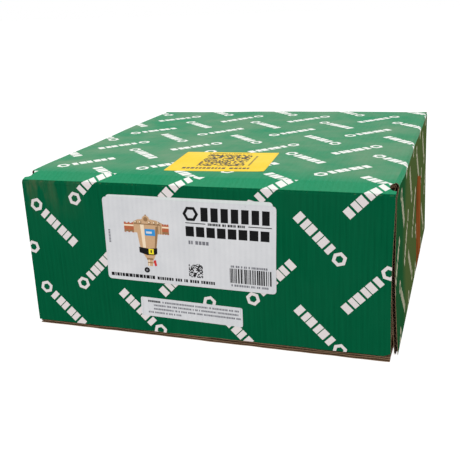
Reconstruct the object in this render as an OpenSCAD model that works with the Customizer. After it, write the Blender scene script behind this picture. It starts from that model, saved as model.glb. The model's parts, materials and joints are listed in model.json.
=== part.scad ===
// Boxed magnetic dirt separator for a hydronic heating system: a hinged-lid
// corrugated carton, and the separator that lies on its back inside it.
// Frame: +Z up, front label towards -Y, origin at the centre of the carton's base.

/* [Carton] */
// Outside width of the carton, left to right
carton_w = 310; // [300:1:340]
// Outside depth of the carton, front to back
carton_d = 304; // [298:1:308]
// Outside height of the carton
carton_h = 138; // [136:1:150]
// Thickness of the corrugated board
board_t = 3; // [2:0.5:3.5]
// Gap left between the lower edge of each outer flap and the ground
flap_gap = 5; // [3:0.5:8]
// Drop of the crushed band along the lid's front edge
band_drop = 5; // [4:1:12]
// Depth of the crushed band, front to back
band_run = 14; // [9:1:16]

/* [Separator] */
// Radius of the body at the height of the pipes
body_r = 45; // [44:0.5:46]
// Distance from the body's axis to the mouth of a press socket
pipe_reach = 95; // [94:1:106]
// Bore radius of a press socket, for copper tube of 28.6 mm outside diameter
socket_r = 14.4; // [14.35:0.05:14.5]
// Depth of a press socket
socket_depth = 24; // [20:1:24]
// Outside radius of the magnetic belt
belt_r = 38; // [38:0.1:39.5]
// Width across flats of the union nut
nut_af = 41; // [40:1:42]

/* [Drain] */
// Radius of the drain valve's body
valve_r = 12.5; // [12.2:0.1:13.5]
// Direction of the drain outlet, from the front towards the side with the fixed socket
outlet_turn = 50; // [45:5:60]
// Length of the drain outlet from the valve's axis
outlet_reach = 27; // [26:0.5:27.5]

/* [Hidden] */
$fn = 96;
deep = 1;                            // how far a cutting tool runs past a face

// carton
half_w = carton_w / 2;
half_d = carton_d / 2;
fold_gap = 0.45;                     // gap between two panels at a fold
wall_gap = 0.4;                      // gap between an outer flap and the wall behind it
inner_w = half_w - board_t - wall_gap;   // outer face of a side wall
inner_d = half_d - board_t - wall_gap;   // outer face of the front wall
wall_top = carton_h - board_t - 0.6;
band_z = carton_h - band_drop;       // height of the fold above the front flap
band_y = -half_d + band_run;         // where the sloping band meets the flat top
band_slope = atan2(band_drop, band_run);
band_inset = board_t * (1 - sin(band_slope)) / cos(band_slope);
corner_cut = 7;                      // side of the open notch at a front corner of the lid
paper_t = 0.15;
sheet_r = 3;                         // corner radius of a label
tape_t = 0.15;
tape_w = 50;
tape_y = 54;
tape_top = 97;
cradle_top = 56;

// place of the separator: it lies on its back, with its bonnet towards the front
sep_y = -66;
sep_z = 62;
label_turn = 20;                     // turn of the labels from the separator's front

// heights along the separator's own vertical axis, measured from the axis of the pipes
flange_z = 22;
lug_t = 11;
shoulder_z = -30;
belt_top = -80;
belt_bottom = -106;
belt_seat_r = belt_r - 4.5;
cone_bottom = -126;
boss_r = 13.5;
boss_bottom = -131;
wall_t = 4;

// pipes, union and tailpieces, measured from the body's axis
pipe_boss_r = 20.5;
pipe_bore_r = 12.7;
boss_end = 47;
stub_end = 57.5;
stub_r = 18.2;
collar_start = 59.5;
collar_end = 63;
collar_r = 17.6;
nut_start = 48;
nut_end = 66.5;
tail_r = 15.2;
fixed_start = 40;                    // bottom of the counterbore for the fixed tailpiece
fixed_end = 52;
fixed_r = 15.3;

// bonnet
bolt_ring_r = 46.5;
bolt_axis_r = 47.3;
lug_r = 6.5;
lug_relief = 0.5;                    // how far a lug's face stays back from the joint face
lug_web = 12;                        // width of the web that joins a lug to the rim
bolt_r = 2.9;
rim_t = 5.5;
lug_top_t = 4.7;                     // thickness of a lug of the bonnet
head_z = flange_z + 5;               // seat of a bolt's head
head_seat_r = 5.6;
bonnet_top = 34.5;
hub_top = 37;
plug_top = 46;
cage_r = 20;

// drain valve
neck_bottom = -135;
valve_top = -138;
valve_bottom = -181;
ball_z = -150;
ball_r = 8.5;
chamber_r = 8.6;
chamber_half = 9;                    // half the length of the ball's chamber
port_r = 5.5;
stem_r = 3.5;
gland_x = 11;                        // start of the gland's counterbore
lever_x = 19.5;
outlet_z = -171;
outlet_r = 8;
cap_r = 11.6;
cap_len = 12;
cap_seat = outlet_reach - cap_len + 2.5;

green = [0.02, 0.36, 0.22];
kraft = [0.62, 0.46, 0.30];
brass = [0.78, 0.62, 0.42];
copper = [0.80, 0.45, 0.33];
steel = [0.62, 0.63, 0.64];
black = [0.06, 0.06, 0.07];
tape = [0.45, 0.22, 0.12];
red = [0.85, 0.1, 0.12];

// ---------------------------------------------------------------- helpers

module box(low, high) {
    translate(low) cube(high - low);
}

// A profile drawn in Y and Z, extruded along X from x0 to x1.
module along_x(x0, x1) {
    translate([x0, 0, 0]) rotate([90, 0, 90]) linear_extrude(x1 - x0) children();
}

// A profile drawn in X and Z, extruded along Y from y0 to y1.
module along_y(y0, y1) {
    translate([0, y1, 0]) rotate([90, 0, 0]) linear_extrude(y1 - y0) children();
}

module tube(r_out, r_in, z0, z1) {
    difference() {
        translate([0, 0, z0]) cylinder(r = r_out, h = z1 - z0);
        translate([0, 0, z0 - deep]) cylinder(r = r_in, h = z1 - z0 + 2 * deep);
    }
}

module hex_bar(across_flats, z0, z1) {
    translate([0, 0, z0]) cylinder(d = across_flats / cos(30), h = z1 - z0, $fn = 6);
}

// A hexagon whose corners are turned off, as on a machined nut.
module turned_hex(across_flats, z0, z1, chamfer = 1.5) {
    corner_r = across_flats / 2 / cos(30);
    intersection() {
        hex_bar(across_flats, z0, z1);
        rotate_extrude() polygon([
            [0, z0], [corner_r - chamfer, z0], [corner_r, z0 + chamfer * 0.6],
            [corner_r, z1 - chamfer * 0.6], [corner_r - chamfer, z1], [0, z1]
        ]);
    }
}

// A round ring of circular section about the Z axis.
module oring(ring_r, section_r, z) {
    translate([0, 0, z]) rotate_extrude() translate([ring_r, 0]) circle(r = section_r, $fn = 32);
}

// A thin curved plate on a cylinder of radius r, centred on the front (-Y).
module wrapped_plate(r, thickness, half_angle, z0, z1) {
    translate([0, 0, z0])
        rotate([0, 0, -90 - half_angle])
            rotate_extrude(angle = 2 * half_angle)
                translate([r, 0]) square([thickness, z1 - z0]);
}

// A flat sheet with round corners, centred, standing on the plane Z = 0.
module round_sheet(w, h, r, thickness) {
    translate([-w / 2 + r, -h / 2, 0]) cube([w - 2 * r, h, thickness]);
    translate([-w / 2, -h / 2 + r, 0]) cube([w, h - 2 * r, thickness]);
    for (x = [-1, 1], y = [-1, 1])
        translate([x * (w / 2 - r), y * (h / 2 - r), 0]) cylinder(r = r, h = thickness);
}

// A round-cornered label on the front flap, tilt degrees anticlockwise, lift in front of the board.
module front_label(x, z, w, h, tilt, lift = 0) {
    translate([x, -half_d - lift, z]) rotate([90, 0, 0]) rotate([0, 0, tilt])
        round_sheet(w, h, sheet_r, paper_t);
}

// Moves a piece from the separator's own frame to its place in the carton: its
// front looks up, its top looks at the carton's front, and its right side is at -X.
module placed() {
    translate([0, sep_y, sep_z]) rotate([90, 0, 0]) rotate([0, 0, 180]) children();
}

// Points the Z axis of its children along the separator's +X (side = 1) or -X.
module on_pipe(side) {
    rotate([0, side * 90, 0]) children();
}

// Points the Z axis of its children along the stem of the drain valve.
module on_stem() {
    translate([0, 0, ball_z]) rotate([0, 90, 0]) children();
}

// One copy of its children at each of the bonnet's four lugs.
module at_lugs() {
    for (turn = [45 : 90 : 315]) rotate([0, 0, turn]) children();
}

// Points the Z axis of its children along the drain outlet.
module on_outlet() {
    translate([0, 0, outlet_z]) rotate([0, 0, -outlet_turn]) rotate([90, 0, 0]) children();
}

// ---------------------------------------------------------------- carton

module base_panel() {
    color(kraft) box([-inner_w, -inner_d, 0], [inner_w, half_d, board_t]);
}

module front_inner_wall() {
    color(kraft) box([-inner_w, -inner_d, board_t], [inner_w, -inner_d + board_t, wall_top - band_drop]);
}

module back_wall() {
    color(green) along_x(-inner_w, inner_w) polygon([
        [half_d - board_t, board_t], [half_d, board_t],
        [half_d, carton_h - fold_gap], [half_d - board_t, carton_h - board_t - fold_gap]
    ]);
}

module side_inner_wall(side) {
    front = -inner_d + board_t;
    back = half_d - board_t;
    outer = side * inner_w;
    inner = side * (inner_w - board_t);
    color(kraft) along_x(min(outer, inner), max(outer, inner)) polygon([
        [front, board_t], [back, board_t], [back, wall_top],
        [band_y + board_t, wall_top], [front, wall_top - band_drop]
    ]);
}

// The flat top and the sloping band in front of it, in one piece.
module lid_panel() {
    color(green) difference() {
        along_x(-half_w, half_w) polygon([
            [half_d - fold_gap, carton_h], [band_y, carton_h], [-half_d, band_z],
            [-half_d + board_t, band_z - band_inset],
            [band_y + board_t * tan(band_slope / 2), carton_h - board_t],
            [half_d - board_t - fold_gap, carton_h - board_t]
        ]);
        for (side = [-1, 1]) {
            side_mitre(side);
            translate([side * half_w, -half_d, 0]) rotate([0, 0, 45])
                translate([-corner_cut / 2, -corner_cut / 2, 0])
                    cube([corner_cut, corner_cut, carton_h + deep]);
        }
    }
}

// What the lid leaves free for a side flap: everything outside the mitre of their fold.
module side_mitre(side) {
    outer = side * (half_w - fold_gap);
    inner = side * (half_w - board_t - fold_gap);
    beyond = side * (half_w + deep);
    along_y(-half_d - deep, half_d + deep) polygon([
        [outer, carton_h + deep], [outer, carton_h], [inner, carton_h - board_t],
        [inner, 0], [beyond, 0], [beyond, carton_h + deep]
    ]);
}

module front_flap() {
    color(green) along_x(-half_w + fold_gap, half_w - fold_gap) polygon([
        [-half_d, flap_gap], [-half_d + board_t, flap_gap],
        [-half_d + board_t, band_z - band_inset - fold_gap], [-half_d, band_z - fold_gap]
    ]);
}

module side_flap(side) {
    front = -half_d + board_t + fold_gap;
    color(green) intersection() {
        along_y(front, half_d - fold_gap) polygon([
            [side * half_w, flap_gap], [side * half_w, carton_h],
            [side * (half_w - board_t), carton_h - board_t], [side * (half_w - board_t), flap_gap]
        ]);
        along_x(-half_w - deep, half_w + deep) polygon([
            [front, 0], [half_d, 0], [half_d, carton_h + deep],
            [band_y + corner_cut, carton_h + deep], [front, band_z - 1]
        ]);
    }
}

module old_label() {
    color("white") front_label(-6.5, 88, 140, 72, -0.2);
}

module product_label() {
    color("white") front_label(-7, 85.5, 146, 72, -0.6, paper_t);
}

module notice_label() {
    color("white") front_label(-7.9, 26.3, 89, 17, -1.1);
}

module top_sticker() {
    color("gold") translate([2.9, -87.8, carton_h]) rotate([0, 0, 4]) round_sheet(84, 65, sheet_r, paper_t);
}

module side_tape() {
    color(tape)
        box([half_w, tape_y - tape_w / 2, flap_gap], [half_w + tape_t, tape_y + tape_w / 2, tape_top]);
}

// The end of the tape that goes on below the flap, onto the edge of the base.
module tape_tail() {
    color(tape)
        box([inner_w, tape_y - tape_w / 2, 0], [inner_w + tape_t, tape_y + tape_w / 2, flap_gap - 0.5]);
}

// A board on edge across the tray, with a round seat for the separator.
module cradle(y, seat_r) {
    span = inner_w - board_t;
    color(kraft) difference() {
        box([-span, y - board_t / 2, board_t], [span, y + board_t / 2, cradle_top]);
        translate([0, y + board_t, sep_z]) rotate([90, 0, 0]) cylinder(r = seat_r + 0.3, h = 2 * board_t);
    }
}

module front_cradle() {
    cradle(sep_y + 27, body_r);
}

module rear_cradle() {
    cradle(sep_y + 165, valve_r - 1.5);
}

// ---------------------------------------------------------------- separator

module body_outer() {
    rotate_extrude() polygon([
        [0, flange_z], [body_r, flange_z], [body_r + 1, flange_z - 1],
        [body_r + 1, flange_z - 5], [body_r, flange_z - 6.5],
        [body_r, shoulder_z], [belt_seat_r + 3, belt_top + 3], [belt_seat_r + 2, belt_top],
        [belt_seat_r, belt_top], [belt_seat_r, belt_bottom + 1], [belt_seat_r - 2, belt_bottom - 1],
        [boss_r + 4, cone_bottom + 3], [boss_r, cone_bottom], [boss_r, boss_bottom], [0, boss_bottom]
    ]);
    on_pipe(1) {
        cylinder(r = pipe_boss_r, h = boss_end);
        cylinder(r = stub_r, h = stub_end);
    }
    on_pipe(-1) {
        cylinder(r = pipe_boss_r, h = boss_end);
        cylinder(r = stub_r + 0.6, h = fixed_end);
    }
    at_lugs() {
        translate([bolt_ring_r, 0, flange_z - lug_t]) cylinder(r = lug_r, h = lug_t - lug_relief);
        translate([body_r - 8, -lug_web / 2, flange_z - lug_t]) cube([9, lug_web, lug_t - lug_relief]);
    }
}

module body_shell() {
    inner_r = body_r - wall_t;
    color(brass) placed() difference() {
        body_outer();
        rotate_extrude() polygon([
            [0, flange_z + deep], [inner_r, flange_z + deep], [inner_r, shoulder_z],
            [belt_seat_r - 2, belt_top], [belt_seat_r - 3.5, belt_bottom + 2],
            [boss_r - 3, cone_bottom + 6], [8.5, cone_bottom + 4], [8.5, boss_bottom - deep],
            [0, boss_bottom - deep]
        ]);
        on_pipe(1) cylinder(r = pipe_bore_r, h = stub_end + deep);
        on_pipe(-1) {
            cylinder(r = pipe_bore_r, h = fixed_end + deep);
            translate([0, 0, fixed_start]) cylinder(r = fixed_r, h = fixed_end);
        }
        at_lugs() translate([bolt_axis_r, 0, flange_z - 9]) cylinder(r = bolt_r, h = 9 + deep);
        gasket_ring(deep);
    }
}

// The ring that seals the bonnet, raised by extra when it cuts its own groove.
module gasket_ring(extra) {
    tube(body_r - 0.8, body_r - 2.4, flange_z - 1.2, flange_z + extra);
}

module body_label() {
    color([0.0, 0.5, 0.8]) placed() rotate([0, 0, label_turn])
        wrapped_plate(body_r, paper_t, 27, -24, 6);
}

module bonnet() {
    color(brass) placed() difference() {
        union() {
            rotate_extrude() polygon([
                [0, flange_z - 3], [body_r - wall_t - 0.2, flange_z - 3], [body_r - wall_t - 0.2, flange_z],
                [body_r + 1, flange_z], [body_r + 1, flange_z + rim_t - 1], [body_r, flange_z + rim_t],
                [37, flange_z + rim_t + 1], [26, bonnet_top - 1.5], [18, bonnet_top], [0, bonnet_top]
            ]);
            turned_hex(30, bonnet_top, hub_top, 0.8);
            at_lugs() {
                translate([bolt_ring_r, 0, flange_z + lug_relief]) cylinder(r = lug_r, h = lug_top_t);
                translate([body_r - 6, -lug_web / 2, flange_z + lug_relief]) cube([7, lug_web, lug_top_t]);
            }
        }
        rotate_extrude() polygon([
            [0, flange_z - 3 - deep], [37, flange_z - 3 - deep], [37, flange_z],
            [32, flange_z + 3], [24, bonnet_top - 5.5], [12, bonnet_top - 4.5], [0, bonnet_top - 4.5]
        ]);
        translate([0, 0, flange_z]) cylinder(r = 8, h = hub_top - flange_z + deep);
        at_lugs() translate([bolt_axis_r, 0, 0]) {
            translate([0, 0, flange_z - deep]) cylinder(r = bolt_r + 0.2, h = rim_t + 2 * deep);
            translate([0, 0, head_z]) cylinder(r = head_seat_r, h = rim_t);
        }
    }
}

module bonnet_gasket() {
    color(black) placed() gasket_ring(0);
}

module bonnet_bolts() {
    color(steel) placed() at_lugs() translate([bolt_axis_r, 0, 0]) {
        turned_hex(9, head_z, head_z + 4.5, 0.6);
        translate([0, 0, flange_z - 8.5]) cylinder(r = bolt_r, h = rim_t + 9);
    }
}

module vent_plug() {
    color(brass) placed() difference() {
        union() {
            turned_hex(25, hub_top + 1, plug_top);
            translate([0, 0, hub_top - 7]) cylinder(r = 7.95, h = 8.5);
        }
        translate([0, 0, hub_top - 8]) cylinder(r = 2, h = 20);
        translate([0, 0, plug_top - 3]) cylinder(r = 4, h = 3 + deep);
    }
}

module vent_plug_gasket() {
    color(black) placed() tube(11.5, 8, hub_top, hub_top + 1);
}

module vent_cap() {
    ribs = 18;
    foot = plug_top + 0.3;
    color(brass) placed() difference() {
        rotate_extrude() polygon([
            [0, plug_top - 2.6], [3.95, plug_top - 2.6], [3.95, foot], [7.5, foot], [7.5, foot + 4],
            [6.5, foot + 5], [3, foot + 5.8], [1.9, foot + 6.6],
            [1.9, foot + 9.5], [1.3, foot + 10], [0, foot + 10]
        ]);
        for (i = [0 : ribs - 1]) rotate([0, 0, i * 360 / ribs])
            translate([7.8, 0, foot - deep]) cylinder(r = 0.6, h = 8, $fn = 16);
    }
}

// The cage that slows the water and lets the dirt drop: rings joined by bars.
module mesh_element() {
    cage_bottom = -76;
    ring_step = 14.5;
    color(steel) placed() {
        for (i = [0 : 7]) translate([0, 0, cage_bottom + i * ring_step]) tube(cage_r, cage_r - 1.5, 0, 1.6);
        for (turn = [0 : 45 : 315]) rotate([0, 0, turn])
            box([cage_r - 1.4, -0.8, cage_bottom], [cage_r - 0.1, 0.8, flange_z + 5]);
        difference() {
            translate([0, 0, cage_bottom]) cylinder(r = cage_r, h = 1.6);
            for (turn = [0 : 60 : 300]) rotate([0, 0, turn])
                translate([12, 0, cage_bottom - deep]) cylinder(r = 4, h = 4);
        }
    }
}

// One block magnet, or with grow above 0 the pocket that it sits in.
module block_magnet(grow) {
    box([belt_seat_r + 0.9 - grow, -5 - grow, belt_bottom + 6 - grow],
        [belt_r - 1.2 + grow, 5 + grow, belt_top - 6 + grow]);
}

module magnet_belt() {
    bore_r = belt_seat_r + 0.1;
    color(black) placed() difference() {
        rotate_extrude() polygon([
            [bore_r, belt_bottom + 1.2], [belt_r - 1, belt_bottom + 1.2],
            [belt_r, belt_bottom + 2.2], [belt_r, belt_top - 2], [belt_r - 1, belt_top - 1],
            [bore_r, belt_top - 1]
        ]);
        for (turn = [20 : 40 : 340]) rotate([0, 0, turn]) block_magnet(0.05);
    }
}

module belt_magnets() {
    color(steel) placed() for (turn = [20 : 40 : 340]) rotate([0, 0, turn]) block_magnet(0);
}

module belt_label() {
    color("gold") placed() rotate([0, 0, label_turn])
        wrapped_plate(belt_r, paper_t, 17, belt_bottom + 3, belt_top - 2.8);
}

module union_nut() {
    color(brass) placed() on_pipe(1) difference() {
        turned_hex(nut_af, nut_start, nut_end, 2);
        translate([0, 0, nut_start - deep])
            cylinder(r = stub_r + 0.1, h = collar_end + 0.3 - nut_start + deep);
        translate([0, 0, nut_start]) cylinder(r = tail_r + 0.6, h = nut_end);
    }
}

module union_gasket() {
    color(black) placed() on_pipe(1) tube(collar_r, pipe_bore_r + 0.3, stub_end, collar_start);
}

// A copper tailpiece about the Z axis: the shank's outline comes first, then the
// press socket with its bead, which holds the O-ring.
module copper_tail(shank) {
    start = shank[0][1];
    stop = pipe_reach - socket_depth;
    bead = socket_r + 4.1;
    skin = socket_r + 1.3;
    difference() {
        rotate_extrude() polygon(concat([[0, start]], shank, [
            [tail_r, stop - 3], [skin, stop], [skin, pipe_reach - 13], [bead - 1, pipe_reach - 11.5],
            [bead, pipe_reach - 10], [bead, pipe_reach - 6], [bead - 1, pipe_reach - 4.5],
            [skin + 0.4, pipe_reach - 3], [skin + 1.2, pipe_reach], [0, pipe_reach]
        ]));
        translate([0, 0, stop]) cylinder(r = socket_r, h = socket_depth + deep);
        translate([0, 0, start - deep]) cylinder(r = pipe_bore_r, h = pipe_reach);
        tube(bead - 1, socket_r - deep, pipe_reach - 9.6, pipe_reach - 6.4);
    }
}

module press_oring() {
    section = 1.45;
    oring(socket_r + 0.1 + section, section, pipe_reach - 8);
}

module union_tailpiece() {
    color(copper) placed() on_pipe(1)
        copper_tail([[collar_r, collar_start], [collar_r, collar_end], [tail_r, collar_end]]);
}

module union_press_oring() {
    color(black) placed() on_pipe(1) press_oring();
}

module fixed_tailpiece() {
    color(copper) placed() on_pipe(-1) copper_tail([
        [fixed_r - 0.05, fixed_start + 0.2], [fixed_r - 0.05, fixed_end + 1], [17.6, fixed_end + 1],
        [18.2, fixed_end + 2], [18.2, fixed_end + 4], [17.4, fixed_end + 5], [tail_r, fixed_end + 6.5]
    ]);
}

module fixed_seal() {
    color(black) placed() on_pipe(-1) tube(stub_r, fixed_r, fixed_end, fixed_end + 1);
}

module fixed_press_oring() {
    color(black) placed() on_pipe(-1) press_oring();
}

// ---------------------------------------------------------------- drain valve

module drain_neck() {
    color(brass) placed() difference() {
        union() {
            translate([0, 0, boss_bottom]) cylinder(r = 8.45, h = cone_bottom + 3 - boss_bottom);
            turned_hex(24, neck_bottom, boss_bottom, 1);
            translate([0, 0, ball_z + chamber_half]) cylinder(r = chamber_r - 0.1, h = 8);
        }
        translate([0, 0, ball_z]) cylinder(r = port_r + 0.3, h = 40);
    }
}

module neck_gasket() {
    color(black) placed() tube(13.3, chamber_r - 0.1, valve_top, neck_bottom);
}

module valve_body() {
    low_r = valve_r - 1.5;
    color(brass) placed() difference() {
        union() {
            rotate_extrude() polygon([
                [0, valve_top], [valve_r - 1, valve_top], [valve_r, valve_top - 1],
                [valve_r, ball_z - chamber_half], [low_r, ball_z - chamber_half - 2],
                [low_r, valve_bottom + 1.5], [low_r - 1.5, valve_bottom], [0, valve_bottom]
            ]);
            on_outlet() cylinder(r = outlet_r, h = outlet_reach);
            on_stem() cylinder(r = 7.2, h = gland_x + 4.5);
        }
        translate([0, 0, ball_z - chamber_half]) cylinder(r = chamber_r, h = 30);
        translate([0, 0, outlet_z - 3]) cylinder(r = port_r + 0.6, h = 20);
        on_outlet() cylinder(r = port_r, h = outlet_reach + deep);
        on_stem() cylinder(r = stem_r + 0.05, h = 30);
        on_stem() translate([0, 0, gland_x]) cylinder(r = 4.6, h = 10);
    }
}

// A ring with a round seat, below the ball (side = -1) or above it (side = 1).
module seat_ring(side) {
    color("white") placed() difference() {
        translate([0, 0, ball_z + side * (chamber_half - 2)])
            cylinder(r = chamber_r - 0.1, h = 4, center = true);
        translate([0, 0, ball_z - 20]) cylinder(r = port_r, h = 40);
        translate([0, 0, ball_z]) sphere(r = ball_r + 0.05);
    }
}

module valve_ball() {
    color(steel) placed() translate([0, 0, ball_z]) difference() {
        sphere(r = ball_r);
        cylinder(r = port_r, h = 30, center = true);
        translate([ball_r - 1.6, -10, -1.6]) cube([10, 20, 3.2]);
    }
}

module valve_stem() {
    drive_start = ball_r + 11.6;
    color(brass) placed() on_stem() difference() {
        union() {
            translate([-1.5, -2.5, ball_r - 1.4]) cube([3, 5, 2]);
            translate([0, 0, ball_r + 0.2]) cylinder(r = stem_r, h = drive_start - ball_r - 0.2);
            translate([-2.3, -2.3, drive_start]) cube([4.6, 4.6, 4]);
        }
        translate([0, 0, drive_start - 2]) cylinder(r = 1.5, h = 10);
    }
}

module stem_seal() {
    color(black) placed() on_stem() tube(4.55, stem_r + 0.05, gland_x, gland_x + 2.4);
}

module gland_nut() {
    color(brass) placed() on_stem() difference() {
        union() {
            turned_hex(13, gland_x + 4.5, gland_x + 7.3, 0.5);
            translate([0, 0, gland_x + 2.4]) cylinder(r = 4.5, h = 3);
        }
        translate([0, 0, gland_x]) cylinder(r = stem_r + 0.1, h = 10);
    }
}

// A flat bar handle with round ends, across the stem.
module drain_lever() {
    thick = 7;
    arm = 6.5;
    color(red) placed() translate([lever_x, 0, 0]) on_stem() difference() {
        union() {
            for (end = [-1, 1]) translate([end * arm, 0, 0]) cylinder(r = 5.5, h = thick);
            translate([-arm, -5.5, 0]) cube([2 * arm, 11, thick]);
        }
        translate([-2.35, -2.35, 0.5]) cube([4.7, 4.7, thick]);
        translate([0, 0, -deep]) cylinder(r = stem_r + 0.1, h = deep + 0.65);
        translate([0, 0, thick - 2]) cylinder(r = 4, h = 3);
    }
}

module lever_screw() {
    color(steel) placed() translate([lever_x, 0, 0]) on_stem() difference() {
        union() {
            translate([0, 0, 5.02]) cylinder(r = 3.7, h = 1.9);
            translate([0, 0, 1]) cylinder(r = 1.45, h = 4.5);
        }
        translate([-0.5, -5, 6]) cube([1, 10, 2]);
    }
}

module drain_cap() {
    ribs = 20;
    color(black) placed() on_outlet() difference() {
        rotate_extrude() polygon([
            [0, cap_seat], [cap_r, cap_seat], [cap_r, cap_seat + cap_len - 1.2],
            [cap_r - 1.2, cap_seat + cap_len], [0, cap_seat + cap_len]
        ]);
        translate([0, 0, cap_seat - deep]) cylinder(r = outlet_r + 0.1, h = cap_len - 2 + deep);
        for (i = [0 : ribs - 1]) rotate([0, 0, (i + 0.5) * 360 / ribs])
            translate([cap_r + 0.3, 0, cap_seat + 1]) cylinder(r = 0.8, h = cap_len, $fn = 16);
    }
}

module cap_gasket() {
    color("darkred") placed() on_outlet()
        tube(outlet_r, port_r + 0.3, outlet_reach + 0.05, outlet_reach + 0.5);
}

// A loose ring round the outlet, with a tongue that is fixed to the cap.
module cap_strap() {
    ring_s = valve_r + 0.6;
    color(black) placed() on_outlet() {
        tube(outlet_r + 2.4, outlet_r + 0.3, ring_s, ring_s + 1.6);
        box([outlet_r + 1.5, -2.5, ring_s], [cap_r + 1.3, 2.5, ring_s + 1.6]);
        box([cap_r, -2.5, ring_s], [cap_r + 1.3, 2.5, cap_seat + 6]);
    }
}

// ---------------------------------------------------------------- assembly

base_panel();
front_inner_wall();
back_wall();
side_inner_wall(-1);  // left_inner_wall
side_inner_wall(1);  // right_inner_wall
front_cradle();
rear_cradle();
tape_tail();
lid_panel();
top_sticker();
front_flap();
old_label();
product_label();
notice_label();
side_flap(-1);  // left_flap
side_flap(1);  // right_flap
side_tape();
body_shell();
body_label();
bonnet();
bonnet_gasket();
bonnet_bolts();
vent_plug();
vent_plug_gasket();
vent_cap();
mesh_element();
magnet_belt();
belt_magnets();
belt_label();
union_nut();
union_gasket();
union_tailpiece();
union_press_oring();
fixed_tailpiece();
fixed_seal();
fixed_press_oring();
drain_neck();
neck_gasket();
valve_body();
seat_ring(1);  // upper_seat
seat_ring(-1);  // lower_seat
valve_ball();
valve_stem();
stem_seal();
gland_nut();
drain_lever();
lever_screw();
drain_cap();
cap_gasket();
cap_strap();
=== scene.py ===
"""Looks of the boxed magnetic dirt separator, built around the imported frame."""
import json
import math
import random

import bpy
from mathutils import Matrix, Vector, noise


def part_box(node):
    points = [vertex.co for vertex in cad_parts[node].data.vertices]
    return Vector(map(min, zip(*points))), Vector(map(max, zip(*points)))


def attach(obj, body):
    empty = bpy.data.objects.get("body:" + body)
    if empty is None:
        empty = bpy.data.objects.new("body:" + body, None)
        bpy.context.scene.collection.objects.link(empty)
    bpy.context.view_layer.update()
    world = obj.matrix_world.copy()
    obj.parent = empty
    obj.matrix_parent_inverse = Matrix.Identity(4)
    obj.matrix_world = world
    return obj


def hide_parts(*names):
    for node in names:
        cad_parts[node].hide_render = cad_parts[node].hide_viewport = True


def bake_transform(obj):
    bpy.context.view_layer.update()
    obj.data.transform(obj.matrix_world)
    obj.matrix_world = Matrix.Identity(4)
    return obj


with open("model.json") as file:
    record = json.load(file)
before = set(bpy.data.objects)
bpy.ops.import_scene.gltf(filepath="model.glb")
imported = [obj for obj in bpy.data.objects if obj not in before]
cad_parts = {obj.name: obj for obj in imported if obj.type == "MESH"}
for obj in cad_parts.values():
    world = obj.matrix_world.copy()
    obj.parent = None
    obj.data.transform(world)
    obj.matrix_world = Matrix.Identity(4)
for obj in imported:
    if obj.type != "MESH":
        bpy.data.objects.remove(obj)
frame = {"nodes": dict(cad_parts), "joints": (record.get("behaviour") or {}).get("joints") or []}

noise.seed_set(5)                           # without a seed noise_vector changes with the clock

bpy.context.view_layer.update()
MM = 0.001

# ---------------------------------------------------------------- sizes, from the frame

JOINTS = {joint["name"]: joint for joint in frame["joints"]}
LID_LOW, LID_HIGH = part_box("lid_panel")
WALL_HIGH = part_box("left_inner_wall")[1]
HALF_W = LID_HIGH.x
HALF_D = -LID_LOW.y
HEIGHT = LID_HIGH.z
FOLD_Z = JOINTS["front_fold"]["pos_m"][2]
BOARD = 3 * MM
WALL_SET = BOARD + 0.4 * MM                 # from the outer face to a wall behind a flap
BAND_RUN = 14 * MM                          # depth of the sloping band at the lid's front
BAND_DROP = HEIGHT - FOLD_Z
SLOPE = math.atan2(BAND_DROP, BAND_RUN)
FLUTE = 4.3 * MM                            # pitch of the board's flutes
LINER = 0.32 * MM
MEDIUM = 0.22 * MM
BEND = 3 * MM                               # outer radius of a fold
CREASE_BEND = 7 * MM                        # outer radius of the soft crease above the band
FLARE = 4.8 * MM                            # how far the right flap's lower front corner stands out
FOLD_GAP = 0.45 * MM                        # from a fold's edge to the board beside it
SWAY = BOARD / 2 - LINER - MEDIUM / 2       # how far the medium swings from the board's middle


# ---------------------------------------------------------------- the carton's surface

class Path:
    """A bent line of straight pieces and arcs in a vertical plane, seen from its outer side.

    Each piece is (length, turn), with a turn in radians towards the inner side.
    """

    def __init__(self, start, heading, pieces):
        self.runs = []
        at, angle, along = Vector(start), heading, 0.0
        for length, turn in pieces:
            self.runs.append((along, length, turn, at.copy(), angle))
            at, angle = self.step(at, angle, length, turn)
            along += length
        self.length = along

    @staticmethod
    def step(at, angle, length, turn):
        if abs(turn) < 1e-9:
            return at + length * Vector((math.cos(angle), math.sin(angle))), angle
        radius = length / turn
        centre = at + radius * Vector((math.sin(angle), -math.cos(angle)))
        angle -= turn
        return centre - radius * Vector((math.sin(angle), -math.cos(angle))), angle

    def at(self, s, depth=0.0):
        """The point s along the line, and depth behind it."""
        for along, length, turn, start, heading in self.runs:
            if s <= along + length:
                break
        part = s - along
        at, angle = self.step(start, heading, part, turn * part / length)
        return at + depth * Vector((math.sin(angle), -math.cos(angle)))


QUARTER = math.pi / 2
CREASE_CUT = CREASE_BEND * math.tan(SLOPE / 2)
FOLD_CUT = BEND * math.tan((QUARTER - SLOPE) / 2)

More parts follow.
